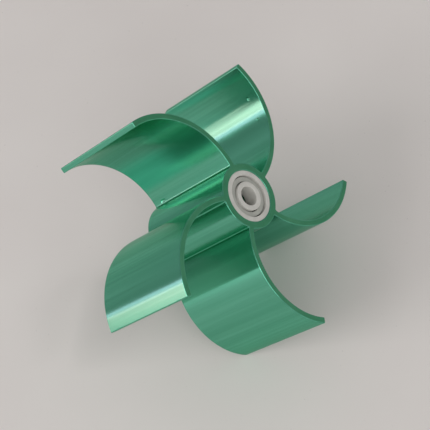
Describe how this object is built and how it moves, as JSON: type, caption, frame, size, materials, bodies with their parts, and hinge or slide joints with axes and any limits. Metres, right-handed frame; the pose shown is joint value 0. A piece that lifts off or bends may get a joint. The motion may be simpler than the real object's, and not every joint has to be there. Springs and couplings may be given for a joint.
{
  "type": "vane wheel",
  "caption": "Green extruded wheel with curved blades round a short hub, and a plastic ball bearing pressed into each end of the hub for a small axle.",
  "frame": {"origin": "on the wheel's axis, half way along its length", "axes": "+Z along the axis, out of the front end; +Y through the tip of one blade"},
  "size_m": [0.1142, 0.1087, 0.05],
  "materials": {
    "green_anodised": "green anodised extrusion with fine lines along its length and sawn ends",
    "ring_plastic": "off-white machined acetal",
    "cage_plastic": "greyish natural nylon, moulded",
    "ball_glass": "clear polished glass"
  },
  "bodies": {
    "front_inner_ring": {"front_inner_ring": "ring_plastic"},
    "wheel": {"vane_wheel": "green_anodised", "front_outer_ring": "ring_plastic", "rear_outer_ring": "ring_plastic"},
    "front_cage": {"front_ball_cage": "cage_plastic"},
    "front_ball_1": {"front_ball_1": "ball_glass"},
    "front_ball_2": {"front_ball_2": "ball_glass"},
    "front_ball_3": {"front_ball_3": "ball_glass"},
    "front_ball_4": {"front_ball_4": "ball_glass"},
    "front_ball_5": {"front_ball_5": "ball_glass"},
    "front_ball_6": {"front_ball_6": "ball_glass"},
    "front_ball_7": {"front_ball_7": "ball_glass"},
    "rear_inner_ring": {"rear_inner_ring": "ring_plastic"},
    "rear_cage": {"rear_ball_cage": "cage_plastic"},
    "rear_ball_1": {"rear_ball_1": "ball_glass"},
    "rear_ball_2": {"rear_ball_2": "ball_glass"},
    "rear_ball_3": {"rear_ball_3": "ball_glass"},
    "rear_ball_4": {"rear_ball_4": "ball_glass"},
    "rear_ball_5": {"rear_ball_5": "ball_glass"},
    "rear_ball_6": {"rear_ball_6": "ball_glass"},
    "rear_ball_7": {"rear_ball_7": "ball_glass"}
  },
  "joints": [
    {"name": "wheel_spin", "type": "hinge", "parent": "front_inner_ring", "child": "wheel", "pos_m": [0, 0, 0], "axis": [0, 0, 1], "continuous": true},
    {"name": "front_cage_spin", "type": "hinge", "parent": "front_inner_ring", "child": "front_cage", "pos_m": [0, 0, 0], "axis": [0, 0, 1], "continuous": true},
    {"name": "front_ball_1_roll", "type": "hinge", "parent": "front_cage", "child": "front_ball_1", "pos_m": [0, 0.0075, 0.0213], "axis": [0, 0, 1], "continuous": true},
    {"name": "front_ball_2_roll", "type": "hinge", "parent": "front_cage", "child": "front_ball_2", "pos_m": [-0.00586, 0.00468, 0.0213], "axis": [0, 0, 1], "continuous": true},
    {"name": "front_ball_3_roll", "type": "hinge", "parent": "front_cage", "child": "front_ball_3", "pos_m": [-0.00731, -0.00167, 0.0213], "axis": [0, 0, 1], "continuous": true},
    {"name": "front_ball_4_roll", "type": "hinge", "parent": "front_cage", "child": "front_ball_4", "pos_m": [-0.00325, -0.00676, 0.0213], "axis": [0, 0, 1], "continuous": true},
    {"name": "front_ball_5_roll", "type": "hinge", "parent": "front_cage", "child": "front_ball_5", "pos_m": [0.00325, -0.00676, 0.0213], "axis": [0, 0, 1], "continuous": true},
    {"name": "front_ball_6_roll", "type": "hinge", "parent": "front_cage", "child": "front_ball_6", "pos_m": [0.00731, -0.00167, 0.0213], "axis": [0, 0, 1], "continuous": true},
    {"name": "front_ball_7_roll", "type": "hinge", "parent": "front_cage", "child": "front_ball_7", "pos_m": [0.00586, 0.00468, 0.0213], "axis": [0, 0, 1], "continuous": true},
    {"name": "rear_ring_spin", "type": "hinge", "parent": "wheel", "child": "rear_inner_ring", "pos_m": [0, 0, 0], "axis": [0, 0, 1], "continuous": true},
    {"name": "rear_cage_spin", "type": "hinge", "parent": "wheel", "child": "rear_cage", "pos_m": [0, 0, 0], "axis": [0, 0, 1], "continuous": true},
    {"name": "rear_ball_1_roll", "type": "hinge", "parent": "rear_cage", "child": "rear_ball_1", "pos_m": [0, 0.0075, -0.0213], "axis": [0, 0, 1], "continuous": true},
    {"name": "rear_ball_2_roll", "type": "hinge", "parent": "rear_cage", "child": "rear_ball_2", "pos_m": [-0.00586, 0.00468, -0.0213], "axis": [0, 0, 1], "continuous": true},
    {"name": "rear_ball_3_roll", "type": "hinge", "parent": "rear_cage", "child": "rear_ball_3", "pos_m": [-0.00731, -0.00167, -0.0213], "axis": [0, 0, 1], "continuous": true},
    {"name": "rear_ball_4_roll", "type": "hinge", "parent": "rear_cage", "child": "rear_ball_4", "pos_m": [-0.00325, -0.00676, -0.0213], "axis": [0, 0, 1], "continuous": true},
    {"name": "rear_ball_5_roll", "type": "hinge", "parent": "rear_cage", "child": "rear_ball_5", "pos_m": [0.00325, -0.00676, -0.0213], "axis": [0, 0, 1], "continuous": true},
    {"name": "rear_ball_6_roll", "type": "hinge", "parent": "rear_cage", "child": "rear_ball_6", "pos_m": [0.00731, -0.00167, -0.0213], "axis": [0, 0, 1], "continuous": true},
    {"name": "rear_ball_7_roll", "type": "hinge", "parent": "rear_cage", "child": "rear_ball_7", "pos_m": [0.00586, 0.00468, -0.0213], "axis": [0, 0, 1], "continuous": true}
  ],
  "couplings": [
    {"joint": "front_cage_spin", "follows": "wheel_spin", "ratio": 0.6323},
    {"joint": "front_ball_1_roll", "follows": "wheel_spin", "ratio": 1.7573},
    {"joint": "front_ball_2_roll", "follows": "wheel_spin", "ratio": 1.7573},
    {"joint": "front_ball_3_roll", "follows": "wheel_spin", "ratio": 1.7573},
    {"joint": "front_ball_4_roll", "follows": "wheel_spin", "ratio": 1.7573},
    {"joint": "front_ball_5_roll", "follows": "wheel_spin", "ratio": 1.7573},
    {"joint": "front_ball_6_roll", "follows": "wheel_spin", "ratio": 1.7573},
    {"joint": "front_ball_7_roll", "follows": "wheel_spin", "ratio": 1.7573},
    {"joint": "rear_cage_spin", "follows": "rear_ring_spin", "ratio": 0.3677},
    {"joint": "rear_ball_1_roll", "follows": "rear_ring_spin", "ratio": -1.7573},
    {"joint": "rear_ball_2_roll", "follows": "rear_ring_spin", "ratio": -1.7573},
    {"joint": "rear_ball_3_roll", "follows": "rear_ring_spin", "ratio": -1.7573},
    {"joint": "rear_ball_4_roll", "follows": "rear_ring_spin", "ratio": -1.7573},
    {"joint": "rear_ball_5_roll", "follows": "rear_ring_spin", "ratio": -1.7573},
    {"joint": "rear_ball_6_roll", "follows": "rear_ring_spin", "ratio": -1.7573},
    {"joint": "rear_ball_7_roll", "follows": "rear_ring_spin", "ratio": -1.7573}
  ]
}
